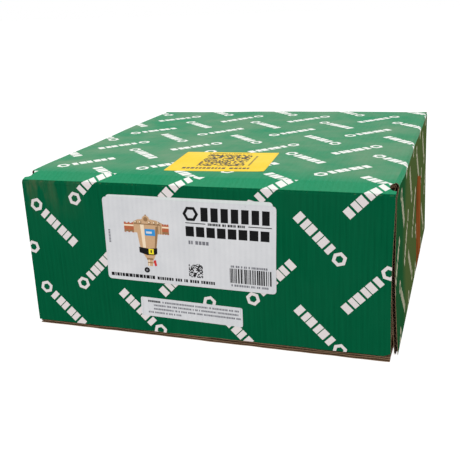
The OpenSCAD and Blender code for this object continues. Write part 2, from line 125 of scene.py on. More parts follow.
# Front to back, the sheet goes up the back wall, over the top, down the band and down the front.
# Its line is drawn with the distance from the back as its first coordinate.
BACK_RISE = HEIGHT - BEND
TOP_RUN = 2 * HALF_D - BAND_RUN - BEND - CREASE_CUT
BAND_LENGTH = math.hypot(BAND_RUN, BAND_DROP) - CREASE_CUT - FOLD_CUT
FRONT_RUN = Path((0, 0), QUARTER, [
    (BACK_RISE, 0), (BEND * QUARTER, QUARTER), (TOP_RUN, 0), (CREASE_BEND * SLOPE, SLOPE),
    (BAND_LENGTH, 0), (BEND * (QUARTER - SLOPE), QUARTER - SLOPE), (FOLD_Z - FOLD_CUT, 0),
])
S_BACK_FOLD = FRONT_RUN.runs[1][0] + FRONT_RUN.runs[1][1] / 2
S_TOP = FRONT_RUN.runs[2][0]
S_CREASE = FRONT_RUN.runs[3][0] + FRONT_RUN.runs[3][1] / 2
S_FOLD = FRONT_RUN.runs[5][0] + FRONT_RUN.runs[5][1] / 2
S_FLAP = FRONT_RUN.runs[6][0]
S_END = FRONT_RUN.length

# Side to side, it goes from the top over a fold and down a side flap.
SIDE_RUN = Path((0, 0), 0, [(20 * MM - BEND, 0), (BEND * QUARTER, QUARTER), (HEIGHT - BEND, 0)])
T_FOLD = SIDE_RUN.runs[1][0] + SIDE_RUN.runs[1][1] / 2
T_FLAP = SIDE_RUN.runs[2][0]

# Small moves of the carton's corners, in millimetres. They were set so that the corners come
# out where the photograph has them; what is wear and what the camera leaves over isn't told apart.
CORNER_SHIFTS = {
    (-1, -1, 1): (0.8, 0.0, -0.3),
    (1, -1, 1): (2.6, 0.0, 0.6),
    (-1, 1, 1): (-1.4, 0.0, -1.4),
    (1, 1, 1): (0.6, 0.0, 1.4),
    (-1, -1, 0): (-1.3, 0.0, 1.0),
    (1, -1, 0): (0.6, 0.0, 0.0),
}


def clamped(x):
    return min(max(x, 0.0), 1.0)


def smooth(x):
    x = clamped(x)
    return x * x * (3 - 2 * x)


def settle(point):
    """Where a point of the carton lies after the knocks and the damp that it has had."""
    side, front, high = point.x / HALF_W, -point.y / HALF_D, point.z / HEIGHT
    shift = Vector((0, 0, 0))
    for (sx, sy, sz), move in CORNER_SHIFTS.items():
        near = smooth((1 + sx * side) / 2) * smooth((1 - sy * front) / 2)
        near *= smooth(high if sz else 1 - high) ** 2
        shift += near ** 1.5 * Vector(move) * MM
    soft = smooth(high * 1.6 - 0.5)
    wave = noise.noise_vector(point * 9 + Vector((3.1, 0.7, 5.2)))
    fine = noise.noise_vector(point * 31 + Vector((9.4, 2.2, 0.3)))
    shift += soft * (0.9 * MM * wave + 0.22 * MM * fine)
    return point + shift


def on_run(x, s, depth=0.0):
    """A point on the sheet that runs over the carton from back to front."""
    back, z = FRONT_RUN.at(s, depth)
    return settle(Vector((x, HALF_D - back, z)))


def on_side(side, y, t, depth=0.0):
    """A point on the sheet that runs over the side fold, t along it."""
    out, z = SIDE_RUN.at(t, depth)
    if side > 0:
        down = max(0.0, (t - T_FLAP) / (SIDE_RUN.length - T_FLAP))
        out += FLARE * down ** 1.3 * (0.65 - 0.35 * y / HALF_D)
    return settle(Vector((side * (HALF_W - 20 * MM + out), y, HEIGHT + z)))


# ---------------------------------------------------------------- meshes

def spread(low, high, step):
    """Even values from low to high, no more than step apart."""
    count = max(1, math.ceil(abs(high - low) / step))
    return [low + (high - low) * i / count for i in range(count + 1)]


class Builder:
    """Gathers quads with a material for each, and turns them into one object."""

    def __init__(self):
        self.points, self.faces, self.looks = [], [], []
        self.sheets = []

    def grid(self, rows, look):
        """A skin over rows of (point, sheet coordinates)."""
        first = len(self.points)
        width = len(rows[0])
        for row in rows:
            for point, sheet in row:
                self.points.append(point)
                self.sheets.append(sheet)
        for j in range(len(rows) - 1):
            for i in range(width - 1):
                corner = first + j * width + i
                self.faces.append((corner, corner + 1, corner + width + 1, corner + width))
                self.looks.append(look)

    def slab(self, place, columns, rows, low, high, looks):
        """A closed sheet between two depths. place(a, b, depth) gives (point, sheet coordinates).

        low and high give the depth of its two faces from a and b; rows(a) gives the values of b.
        looks are the materials of the outer face, the inner face and the cut edges.
        """
        outer = [[place(a, b, low(a, b)) for b in rows(a)] for a in columns]
        inner = [[place(a, b, high(a, b)) for b in rows(a)] for a in columns]
        self.grid(outer, looks[0])
        self.grid([list(reversed(row)) for row in inner], looks[1])
        for near, far in ((outer[0], inner[0]), (inner[-1], outer[-1])):
            self.grid([far, near], looks[2])
        self.grid([[row[0] for row in outer], [row[0] for row in inner]], looks[2])
        self.grid([[row[-1] for row in inner], [row[-1] for row in outer]], looks[2])

    def prism(self, place, outline, low, high, look):
        """A flat closed piece with that outline, anticlockwise, from height low to high."""
        first = len(self.points)
        count = len(outline)
        for lift in (low, high):
            for u, v in outline:
                point, sheet = place(u, v, lift)
                self.points.append(point)
                self.sheets.append(sheet)
        self.faces.append(tuple(first + count + k for k in range(count)))
        self.faces.append(tuple(first + k for k in reversed(range(count))))
        for k in range(count):
            after = (k + 1) % count
            self.faces.append((first + k, first + after, first + count + after, first + count + k))
        self.looks.extend([look] * (count + 2))

    def flip(self):
        """Turns every face over, where a place function is mirrored."""
        self.faces = [tuple(reversed(face)) for face in self.faces]

    def build(self, name, materials, body, slot, nodes=(), smooth_faces=True):
        mesh = bpy.data.meshes.new(name)
        mesh.from_pydata([tuple(point) for point in self.points], [], self.faces)
        for material in materials:
            mesh.materials.append(material)
        for polygon, look in zip(mesh.polygons, self.looks):
            polygon.material_index = look
            polygon.use_smooth = smooth_faces
        if self.sheets and self.sheets[0] is not None:
            for k, attribute in enumerate(("fall", "rise", "board")):
                data = mesh.attributes.new(attribute, "FLOAT_VECTOR", "POINT").data
                data.foreach_set("vector", [v for sheet in self.sheets for v in sheet[k]])
        mesh.validate()
        piece = bpy.data.objects.new(name, mesh)
        bpy.context.collection.objects.link(piece)
        if body:
            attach(piece, body)
        if nodes:
            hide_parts(*nodes)
        return piece


# ---------------------------------------------------------------- sheet coordinates of the print

# Pitch of the marks and the first mark of each slanting family, in millimetres.
TOP_STEP = (75.3, 70.3)                      # across the top, and from back to front
TOP_FALL = (73.2, 78.8)
TOP_RISE = (36.4, 45.5)
FRONT_STEP = (76.2, 75.7)                    # down the front, and across it
FRONT_FALL = (35.6, 27.2)
FRONT_RISE = (-1.8, 64.4)


def lattice(first, second, start, step):
    """How many pitches a point lies from the first mark of a family."""
    return (first - start[0]) / step[0], (second - start[1]) / step[1], 0


def top_sheet(x, back, wear):
    """Sheet coordinates for a point of the top's print, back from the back fold."""
    across = (x + HALF_W) / MM
    down = back / MM
    fall = lattice(across, down, TOP_FALL, TOP_STEP)
    rise = lattice(across, down, TOP_RISE, TOP_STEP)
    return fall, rise, (x / MM, back / MM, wear)


def front_sheet(x, drop, wear):
    """The same for the band and the front, down from the fold between them."""
    across = (x + HALF_W) / MM
    down = drop / MM
    fall = lattice(down, across, FRONT_FALL, FRONT_STEP)
    rise = lattice(down, across, FRONT_RISE, FRONT_STEP)
    return fall, rise, (x / MM, down, wear)


def run_place(x, s, depth):
    """Place and print coordinates of a point on the run from back to front."""
    if s < S_CREASE:
        sheet = top_sheet(x, s - S_BACK_FOLD, wear_at(x, s))
    else:
        sheet = front_sheet(x, s - S_FOLD, wear_at(x, s))
    return on_run(x, s, depth), sheet


def wear_at(x, s):
    """How much a point of the run is rubbed, from 0 to 1, most at folds and at the outer edges."""
    fold = min(abs(s - S_BACK_FOLD), abs(s - S_FOLD), abs(s - S_CREASE) * 2.5)
    edge = HALF_W - abs(x)
    return max(math.exp(-fold / (4 * MM)), math.exp(-edge / (3 * MM)))


SIDE_HAZE_SHIFT = 34                              # how much further back the haze is left out on the sides: their front part shows the deep painted shade without the painted reflection


def side_place(side):
    """Place and print coordinates for a side flap: the top's print runs on over the fold."""
    def place(y, t, depth):
        fold = abs(t - T_FOLD)
        edge = min(HALF_D - abs(y), SIDE_RUN.length - t)
        wear = max(math.exp(-fold / (4 * MM)), math.exp(-edge / (3 * MM)))
        sheet = top_sheet(side * (HALF_W + t - T_FOLD), HALF_D - y, wear)
        # Shifted so that the front part of a side flap keeps the deep painted shade, without the painted
        # reflection.
        far = (HALF_D - y) / MM + SIDE_HAZE_SHIFT
        return on_side(side, y, t, depth), (sheet[0], sheet[1], ((HEIGHT - t) / MM, far, wear))
    return place


def plain_sheet(across, along):
    return (0, 0, 0), (0, 0, 0), (across / MM, along / MM, 0.3)


def medium_at(run):
    """Depth of the waved medium's middle, run across the flutes."""
    return BOARD / 2 + SWAY * math.cos(2 * math.pi * run / FLUTE)


def board(builder, place, across, rows, looks, step=5 * MM):
    """Corrugated board: two liners and a waved medium between them.

    across are the limits over the flutes, and rows(a) gives the values along them.
    """
    columns = spread(across[0], across[1], step)
    builder.slab(place, columns, rows, lambda a, b: 0.0, lambda a, b: LINER, looks)
    builder.slab(place, columns, rows, lambda a, b: BOARD - LINER, lambda a, b: BOARD,
                 (looks[2], looks[1], looks[2]))
    waves = spread(across[0] + 0.2 * MM, across[1] - 0.2 * MM, FLUTE / 6)
    builder.slab(place, waves, rows, lambda a, b: medium_at(a) - MEDIUM / 2,
                 lambda a, b: medium_at(a) + MEDIUM / 2, (looks[3], looks[3], looks[3]))


# ---------------------------------------------------------------- node trees

class Wire:
    """A socket that can be reckoned with; each step is one Math node."""

    def __init__(self, tree, socket):
        self.tree, self.socket = tree, socket

    def math(self, operation, *others, clamp=False):
        node = self.tree.nodes.new("ShaderNodeMath")
        node.operation = operation
        node.use_clamp = clamp
        self.tree.links.new(self.socket, node.inputs[0])
        for k, other in enumerate(others, 1):
            if isinstance(other, Wire):
                self.tree.links.new(other.socket, node.inputs[k])
            else:
                node.inputs[k].default_value = other
        return Wire(self.tree, node.outputs[0])

    def __add__(self, other):
        return self.math("ADD", other)

    def __sub__(self, other):
        return self.math("SUBTRACT", other)

    def __mul__(self, other):
        return self.math("MULTIPLY", other)

    def over(self, other):
        return self.math("GREATER_THAN", other)

    def under(self, other):
        return self.math("LESS_THAN", other)

    def larger(self, other):
        return self.math("MAXIMUM", other)

    def size(self):
        return self.math("ABSOLUTE")

    def floor(self):
        return self.math("FLOOR")

    def ramp(self, low, high):
        """0 at low, 1 at high, straight between."""
        node = self.tree.nodes.new("ShaderNodeMapRange")
        self.tree.links.new(self.socket, node.inputs["Value"])
        node.inputs["From Min"].default_value = low
        node.inputs["From Max"].default_value = high
        return Wire(self.tree, node.outputs["Result"])


class Paint:
    """A material under construction, with its Principled shader."""

    def __init__(self, name, **sockets):
        self.material = bpy.data.materials.new(name)
        self.material.use_nodes = True
        self.tree = self.material.node_tree
        self.shader = self.tree.nodes["Principled BSDF"]
        for key, value in sockets.items():
            self.shader.inputs[key.replace("_", " ")].default_value = value

    def node(self, kind, **settings):
        node = self.tree.nodes.new(kind)
        for key, value in settings.items():
            setattr(node, key, value)
        return node

    def place(self, scale=(1, 1, 1)):
        """Object coordinates in metres, scaled."""
        coordinates = self.node("ShaderNodeTexCoord")
        mapping = self.node("ShaderNodeMapping")
        mapping.inputs["Scale"].default_value = scale
        self.tree.links.new(coordinates.outputs["Object"], mapping.inputs["Vector"])
        return mapping.outputs["Vector"]

    def noise(self, scale, detail=3.0, rough=0.55, stretch=(1, 1, 1)):
        node = self.node("ShaderNodeTexNoise")
        node.inputs["Scale"].default_value = scale
        node.inputs["Detail"].default_value = detail
        node.inputs["Roughness"].default_value = rough
        self.tree.links.new(self.place(stretch), node.inputs["Vector"])
        return Wire(self.tree, node.outputs["Fac"])

    def sheet(self, name):
        """The three numbers of a sheet coordinate."""
        attribute = self.node("ShaderNodeAttribute", attribute_name=name)
        parts = self.node("ShaderNodeSeparateXYZ")
        self.tree.links.new(attribute.outputs["Vector"], parts.inputs[0])
        return [Wire(self.tree, parts.outputs[k]) for k in range(3)]

    def flutes(self, across):
        """The board's flutes as a wave from 0 to 1."""
        return (across * (2 * math.pi / (FLUTE / MM))).math("SINE") * 0.5 + 0.5

    def mix(self, share, first, second):
        """A colour between two, each a tuple or a socket."""
        node = self.node("ShaderNodeMix", data_type="RGBA")
        self.tree.links.new(share.socket, node.inputs["Factor"])
        for value, socket in ((first, node.inputs[6]), (second, node.inputs[7])):
            if isinstance(value, tuple):
                socket.default_value = (*value, 1)
            else:
                self.tree.links.new(value, socket)
        return node.outputs[2]

    def colour(self, socket):
        self.tree.links.new(socket, self.shader.inputs["Base Color"])

    def roughness(self, wire, low, high):
        node = self.node("ShaderNodeMapRange")
        self.tree.links.new(wire.socket, node.inputs["Value"])
        node.inputs["To Min"].default_value = low
        node.inputs["To Max"].default_value = high
        self.tree.links.new(node.outputs["Result"], self.shader.inputs["Roughness"])

    def bump(self, height, depth, strength=1.0):
        """Relief of a height from 0 to 1, depth metres deep."""
        node = self.node("ShaderNodeBump")
        node.inputs["Strength"].default_value = strength
        node.inputs["Distance"].default_value = depth
        self.tree.links.new(height.socket, node.inputs["Height"])
        self.tree.links.new(node.outputs["Normal"], self.shader.inputs["Normal"])


def rgb(text):
    """A linear colour from a hexadecimal one."""
    values = [int(text[k:k + 2], 16) / 255 for k in (0, 2, 4)]
    return tuple(v / 12.92 if v <= 0.04045 else ((v + 0.055) / 1.055) ** 2.4 for v in values)


# ---------------------------------------------------------------- the carton's materials

MARK_PITCH = 76.0                            # millimetres
TILES = 6                                    # blocks in the bar of a mark
TILE_STEP = 39.6 / TILES


def mark(paint, coordinates, rising):
    """1 inside one family of slanting marks: a hexagonal ring and a bar of plain blocks."""
    u, v, _ = coordinates
    row = (v + 0.5).floor()
    du = (u + 0.5).math("FRACT") - 0.5
    dv = v - row
    turned = (row * 0.5).math("FRACT").over(0.25)
    sign = (turned * -2) + 1
    scale = MARK_PITCH / math.sqrt(2)
    if rising:
        along, across = (dv - du) * scale, (du + dv) * scale
    else:
        along, across = (du + dv) * scale, (du - dv) * scale
    along = along * sign
    across = across.size()
    ring_at = (along + 21.5).size()
    hexagon = across.larger(across * 0.5 + ring_at * 0.866)
    ring = hexagon.under(5.2) * hexagon.over(2.7)
    tile = (along + 13.2) * (1 / TILE_STEP)
    inside = tile.over(0) * tile.under(TILES)
    long_one = (tile.floor() * 0.5).math("FRACT").over(0.25)
    body = tile.math("FRACT").under(long_one * 0.18 + 0.70) * across.under(4.2)
    return ring.larger(inside * body)


# Near the front crease and on the band the haze of dust and painted sheen is left out.
HAZE_OFF_FROM = (2 * HALF_D - 46 * MM) / MM
HAZE_OFF_TO = (2 * HALF_D - 16 * MM) / MM


def printed_board(name, deep, light, white, haze, haze_share, streaks, haze_lift=0.0, gloss=0.03,
                  scuffed=False):
    """Green print on board. deep and light are the ink's two shades; haze is the colour of dust and
    rubbing mixed with painted sheen, and on the side flaps a painted glancing reflection.
    """
    paint = Paint(name, Roughness=0.6, Specular_IOR_Level=gloss)
    across, along, wear = paint.sheet("board")
    flutes = paint.flutes(across)
    fine = paint.noise(900, 2, 0.6, streaks)
    grain = paint.noise(2600, 2)
    cloud = paint.noise(9, 4, 0.6)
    shade = flutes * 0.12 + fine * 0.75 + cloud * 0.35 - 0.10
    green = paint.mix(shade.ramp(0.15, 0.95), deep, light)
    haze_off = (along.under(0)).larger(along.ramp(HAZE_OFF_FROM, HAZE_OFF_TO))
    # Haze mask: patches of dust and painted sheen on the top and front; lifted further on the side flaps,
    # it is a painted glancing reflection.
    mottle = (paint.noise(14, 5, 0.62) + paint.noise(60, 3) * 0.25 + haze_lift).ramp(0.40, 0.78)
    hazy = mottle * haze_share * (haze_off * -0.85 + 1)
    green = paint.mix(hazy, green, haze)
    marks = mark(paint, paint.sheet("fall"), False).larger(mark(paint, paint.sheet("rise"), True))
    flecks = paint.noise(1500, 3).ramp(0.66, 0.72) * 0.25
    marks = marks * (flecks * -1 + 1)
    coloured = paint.mix(marks, green, paint.mix(cloud, white, tuple(0.86 * c for c in white)))
    rubbed = (wear + paint.noise(260, 5, 0.7) * 0.9).ramp(1.46, 1.72) * 0.5
    coloured = paint.mix(rubbed, coloured, rgb("A8916F"))
    if scuffed:
        corner = across.ramp(-95, -150) * along.ramp(34, 4)
        scuff = paint.noise(70, 4, 0.7, (1, 1, 0.25)).ramp(0.42, 0.70) * corner
        coloured = paint.mix(scuff * 0.55, coloured, rgb("6B6248"))
    paint.colour(coloured)
    paint.roughness(hazy + grain * 0.4, 0.5, 0.8)
    paint.bump(flutes * 0.55 + fine * 0.25 + grain * 0.2, 0.10 * MM, 0.8)
    return paint.material


def kraft(name, dark, light, depth=0.12 * MM):
    """Brown paper with fibres, specks and stains."""
    paint = Paint(name, Roughness=0.85)
    fibre = paint.noise(1400, 4, 0.65, (1, 0.25, 1))
    stain = paint.noise(22, 4, 0.6)
    speck = paint.noise(3200, 2).ramp(0.60, 0.70)
    base = paint.mix((fibre * 0.7 + stain * 0.5).ramp(0.35, 0.8), dark, light)
    paint.colour(paint.mix(speck * 0.35, base, tuple(0.45 * c for c in dark)))
    paint.roughness(fibre, 0.75, 0.95)
    paint.bump(fibre, depth)
    return paint.material


def label_paper(name, white, dirt, sheen=0.42):
    """Coated label paper, slightly dirty, with the board's flutes showing through."""
    paint = Paint(name, Roughness=sheen, Specular_IOR_Level=0.1)
    across, _, _ = paint.sheet("board")
    flutes = paint.flutes(across)
    stain = paint.noise(26, 5, 0.65).ramp(0.35, 0.8)
    speck = paint.noise(700, 3).ramp(0.68, 0.74) * 0.35
    base = paint.mix(stain * 0.55 + flutes * 0.12, white, dirt)
    paint.colour(paint.mix(speck, base, tuple(0.5 * c for c in dirt)))
    paint.roughness(stain, sheen, sheen + 0.2)
    paint.bump(flutes * 0.6 + stain * 0.4, 0.06 * MM, 0.6)
    return paint.material


def ink(name, colour, second=None, gloss=0.45):
    """Printing ink with small gaps in it."""
    paint = Paint(name, Roughness=gloss, Specular_IOR_Level=0.08)
    gaps = paint.noise(1800, 3).ramp(0.5, 0.9)
    paint.colour(paint.mix(gaps * 0.5, colour, second or tuple(0.7 * c + 0.03 for c in colour)))
    paint.roughness(gaps, gloss, gloss + 0.25)
    return paint.material


# One green print in three copies with painted light and shade: lighter on the top, a darker painted-shade
# copy on the front and a still darker one on the sides, whites included.
LIT_GREEN_TOP = printed_board("print_top", rgb("0E7E52"), rgb("27946A"), rgb("F0F1EC"), rgb("78967A"),
                          0.75, (1, 0.03, 1))
SHADED_GREEN_FRONT = printed_board("print_front", rgb("00452A"), rgb("045A39"), rgb("DAD2D1"), rgb("14563A"),
                            0.3, (1, 1, 0.03), gloss=0.0, scuffed=True)
SHADED_GREEN_SIDE = printed_board("print_side", rgb("033F22"), rgb("0C5230"), rgb("A8A48E"), rgb("46552E"),
                           0.95, (1, 0.03, 1), haze_lift=0.35, gloss=0.0)
KRAFT = kraft("kraft_liner", rgb("7A5A3C"), rgb("B08A62"))
KRAFT_EDGE = kraft("kraft_edge", rgb("5E4630"), rgb("96785A"), 0.2 * MM)
KRAFT_MEDIUM = kraft("kraft_medium", rgb("2C1D11"), rgb("5A4029"), 0.15 * MM)
PRINTED = (LIT_GREEN_TOP, SHADED_GREEN_FRONT, SHADED_GREEN_SIDE, KRAFT, KRAFT_EDGE, KRAFT_MEDIUM)
TOP, FRONT, SIDE, INSIDE, EDGE, FLUTED = range(len(PRINTED))

# ---------------------------------------------------------------- the carton

FOLD_END = 1.2 * MM                          # the lid's board ends this far above the front fold
FOLD_START = 2.4 * MM                        # a flap's board starts this far past its fold
BACK_END = 2.9 * MM                          # the back wall's board ends this far below the back fold
TOP_START = 0.5 * MM                         # the lid's board starts this far past the back fold's bend
CORNER_NOTCH = 5.5 * MM                      # radius of the open hole at a front corner of the lid


def notch(s):
    """How far the lid's side edge is cut back at s, for the holes at its front corners."""
    away = (s - (S_CREASE + 4 * MM)) / CORNER_NOTCH
    if abs(away) >= 1:
        return 0.0
    return CORNER_NOTCH * math.sqrt(1 - away * away)


def build_lid():
    """The top and the band in one board, with open holes at the two front corners."""
    builder = Builder()
    start = S_TOP + TOP_START
    end = S_FOLD - FOLD_END
    split = 0.005 * MM
    rows = sorted(set(spread(start, S_CREASE - 10 * MM, 6 * MM)
                      + spread(S_CREASE - 10 * MM, S_CREASE - split, 1 * MM)
                      + spread(S_CREASE + split, end, 1 * MM)))

    def place(a, b, depth):
        reach = HALF_W - (BEND if b < S_CREASE - 2 * MM else FOLD_GAP)
        x = a * (reach - notch(b))
        return run_place(x, b, depth)
    columns = spread(-1, 1, 1 / 32)
    builder.slab(place, columns, lambda a: rows, lambda a, b: 0.0, lambda a, b: LINER,
                 (TOP, INSIDE, EDGE))
    few = [rows[0], *rows[1::5], rows[-1]]
    few = sorted(set(few) | {r for r in rows if r > S_CREASE - 8 * MM})
    builder.slab(place, columns, lambda a: few, lambda a, b: BOARD - LINER, lambda a, b: BOARD,
                 (EDGE, INSIDE, EDGE))
    waves = spread(-1, 1, FLUTE / 6 / HALF_W)
    builder.slab(place, waves, lambda a: few, lambda a, b: medium_at(a * HALF_W) - MEDIUM / 2,
                 lambda a, b: medium_at(a * HALF_W) + MEDIUM / 2, (FLUTED, FLUTED, FLUTED))
    builder.build("lid_board", PRINTED, "lid", "printed_board", ["lid_panel"])


def build_front_flap():
    builder = Builder()
    top = S_FOLD + FOLD_START

    def bottom(x):
        ragged = 0.35 * MM * noise.noise(Vector((x * 160, 1.5, 0)))
        low = 3.4 + 1.8 * smooth((x + HALF_W) / (2 * HALF_W))
        corner = 2.2 * smooth((x - HALF_W + 9 * MM) / (9 * MM)) ** 2
        return S_END - (low + corner) * MM + ragged

    def rows(x):
        low = bottom(x)
        return [top + (low - top) * k / 24 for k in range(25)]
    reach = HALF_W - FOLD_GAP
    board(builder, run_place, (-reach, reach), rows, (FRONT, INSIDE, EDGE, FLUTED))
    builder.build("front_flap_board", PRINTED, "front_flap", "printed_board", ["front_flap"])


def build_side_flap(side, name, node):
    """A side flap. Its flutes run from back to front, so the board's waves go down it."""
    builder = Builder()
    place = side_place(side)
    front = -HALF_D + BOARD + 0.5 * MM
    back = HALF_D - 0.6 * MM
    top = T_FOLD + FOLD_START
    low = SIDE_RUN.length - 5 * MM
    lean = BAND_RUN / BAND_DROP

    def flipped(t, y, depth):
        return place(y, t, depth)

    def ends(t):
        z = HEIGHT - (t - T_FOLD)
        start = front + max(0.0, (z - FOLD_Z + 3 * MM)) * lean
        tear = smooth((t - low + 16 * MM) / (16 * MM))
        start += tear * (1.2 * MM + 1.6 * MM * noise.noise(Vector((t * 900, side, 3))))
        start += 0.2 * MM * noise.noise(Vector((t * 300, side, 0)))
        return start, back

    def rows(t):
        start, end = ends(t)
        return [start + (end - start) * k / 36 for k in range(37)]
    board(builder, flipped, (top, low), rows, (SIDE, INSIDE, EDGE, FLUTED))
    if side < 0:
        builder.flip()
    builder.build(name, PRINTED, node, "printed_board", [node])


def build_fold(name, place, columns, values, looks, start, end):
    """The two liners that bend over a fold, between the boards of two bodies."""
    builder = Builder()
    builder.slab(place, columns, lambda a: values, lambda a, b: 0.0, lambda a, b: LINER,
                 (looks, EDGE, EDGE))
    builder.slab(place, columns, lambda a: values, lambda a, b: BOARD - 1.1 * MM,
                 lambda a, b: BOARD - 0.8 * MM, (EDGE, INSIDE, EDGE))
    piece = builder.build(name, PRINTED, None, "printed_board")
    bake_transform(piece)
    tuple(start)
    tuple(end)


def build_folds():
    reach = HALF_W - FOLD_GAP
    wide = spread(-reach, reach, 5 * MM)
    step = 0.5 * MM
    over = 0.35 * MM                         # how far a strip runs on past the boards' ends

    front = spread(S_FOLD - FOLD_END - over, S_FOLD + FOLD_START + over, step)
    a, b = on_run(0, S_FOLD - FOLD_END), on_run(0, S_FOLD + 2.2 * MM)
    build_fold("front_fold_strip", run_place, wide, front, FRONT, a, b)
    back = spread(S_BACK_FOLD - BACK_END - over, S_TOP + TOP_START + over, step)
    a, b = on_run(0, S_BACK_FOLD - 2.4 * MM), on_run(0, S_BACK_FOLD + 2.4 * MM)
    build_fold("back_fold_strip", run_place, wide, back, TOP, a, b)
    for side, name in ((-1, "left"), (1, "right")):
        place = side_place(side)
        ys = spread(-HALF_D + BAND_RUN + 3 * MM, HALF_D - BEND, 5 * MM)
        ts = spread(T_FOLD - FOLD_START - over, T_FOLD + FOLD_START + over, step)
        a, b = on_side(side, 0, T_FOLD - 2.2 * MM), on_side(side, 0, T_FOLD + 2.2 * MM)
        build_fold(f"{name}_fold_strip", place, ys, ts, TOP, a, b)


def flat_wall(origin, across, up, inward):
    """Place and sheet coordinates for a flat board: a along across, b along up, depth inward."""
    def place(a, b, depth):
        point = origin + a * across + b * up + depth * inward
        return settle(point), plain_sheet(a, b)
    return place


X, Y, Z = Vector((1, 0, 0)), Vector((0, 1, 0)), Vector((0, 0, 1))


def build_back_wall():
    """The back wall is printed, as the lid is: they are one sheet."""
    builder = Builder()
    reach = HALF_W - WALL_SET
    end = S_BACK_FOLD - BACK_END
    values = spread(BOARD, end, 8 * MM)
    board(builder, run_place, (-reach, reach), lambda a: values, (TOP, INSIDE, EDGE, FLUTED))
    builder.build("back_wall_board", PRINTED, "carton", "printed_board", ["back_wall"])


def crushed(top):
    """Rows up to a slightly crushed upper edge; top(a) is its height."""
    def rows(a):
        high = top(a)
        dip = 0.5 * MM * abs(noise.noise(Vector((a * 70, high * 10, 4))))
        return [BOARD + (high - dip - BOARD) * k / 4 for k in range(5)]
    return rows


def build_inner_walls():
    wall = (INSIDE, INSIDE, EDGE, FLUTED)
    inner_w = HALF_W - WALL_SET
    inner_d = HALF_D - WALL_SET
    top = WALL_HIGH.z
    front_top = top - BAND_DROP
    builder = Builder()
    place = flat_wall(Vector((0, -inner_d, 0)), X, Z, Y)
    board(builder, place, (-inner_w, inner_w), crushed(lambda x: front_top), wall)
    builder.build("front_wall_board", PRINTED, "carton", "kraft_board", ["front_inner_wall"])
    length = (-inner_d + BOARD, HALF_D - BOARD)

    def side_top(y):
        return front_top + BAND_DROP * clamped((y - length[0]) / (BAND_RUN + 3 * MM))
    for side, name in ((-1, "left"), (1, "right")):
        builder = Builder()
        place = flat_wall(Vector((side * inner_w, 0, 0)), Y, Z, -side * X)
        board(builder, place, length, crushed(side_top), wall)
        if side < 0:
            builder.flip()
        builder.build(f"{name}_wall_board", PRINTED, "carton", "kraft_board", [f"{name}_inner_wall"])
    builder = Builder()
    place = flat_wall(Vector((0, 0, 0)), X, Y, Z)
    values = spread(-inner_d, HALF_D, 30 * MM)
    board(builder, place, (-inner_w, inner_w), lambda a: values, wall)
    builder.flip()
    builder.build("base_board", PRINTED, "carton", "kraft_board", ["base_panel"])


def build_cradles():
    """Boards on edge with a round seat each."""
    for name in ("front_cradle", "rear_cradle"):
        low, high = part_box(name)
        middle = (low.y + high.y) / 2
        seat = {"front_cradle": 45.3, "rear_cradle": 11.3}[name] * MM
        axis_z = 62 * MM

        def top(x):
            inside = seat * seat - x * x
            return min(high.z, axis_z - math.sqrt(inside)) if inside > 0 else high.z
        builder = Builder()
        place = flat_wall(Vector((0, middle - BOARD / 2, 0)), X, Z, Y)

        def rows(a):
            return [BOARD + (top(a) - BOARD) * k / 3 for k in range(4)]
        board(builder, place, (low.x, high.x), rows, (INSIDE, INSIDE, EDGE, FLUTED), step=1.5 * MM)
        builder.build(f"{name}_board", PRINTED, "carton", "kraft_board", [name])


def build_base_edge():
    """The crushed fold of the tray that shows below the flaps: plies of torn, waved paper."""
    random.seed(7)
    builder = Builder()
    reach = HALF_W - 1.2 * MM

    def ply(origin, across, inward, half, height, set_back, phase, look):
        thick = 0.5 * MM if look == EDGE else 0.9 * MM

        def place(a, b, depth):
            lift = 0.55 * MM * noise.noise(Vector((a * 45, phase, 0)))
            lift += 0.25 * MM * noise.noise(Vector((a * 190, phase, 3)))
            out = 0.7 * MM * noise.noise(Vector((a * 60, phase, 7)))
            point = origin + a * across + (set_back + b + out) * inward
            z = max(height + lift * smooth(height / (1.5 * MM)) + depth, 0.05 * MM)
            return settle(point + z * Z), plain_sheet(a, b)
        columns = spread(-half, half, 2.5 * MM)
        builder.slab(place, columns, lambda a: (0, 0.5 * MM, 2 * MM, 5 * MM), lambda a, b: thick,
                     lambda a, b: 0.0, (look, look, look))
    for k in range(6):
        height = 0.85 * k * MM
        outer = k % 2 == 0
        back = (0.5 + 0.5 * random.random() if outer else 2.6 + 0.8 * random.random()) * MM
        look = EDGE if outer else FLUTED
        ply(Vector((0, -HALF_D, 0)), X, Y, reach, height, back, k * 3.3, look)
        for side in (-1, 1):
            ply(Vector((side * HALF_W, 0, 0)), Y, -side * X, HALF_D - 2 * MM, height,
                back + 0.6 * MM, k * 5.1 + side, look)
    builder.build("tray_edge_plies", PRINTED, "carton", "kraft_board")


build_lid()
build_front_flap()
build_side_flap(-1, "left_flap_board", "left_flap")
build_side_flap(1, "right_flap_board", "right_flap")
build_folds()
build_back_wall()
build_inner_walls()
build_cradles()
build_base_edge()

# ---------------------------------------------------------------- labels, stickers and tape

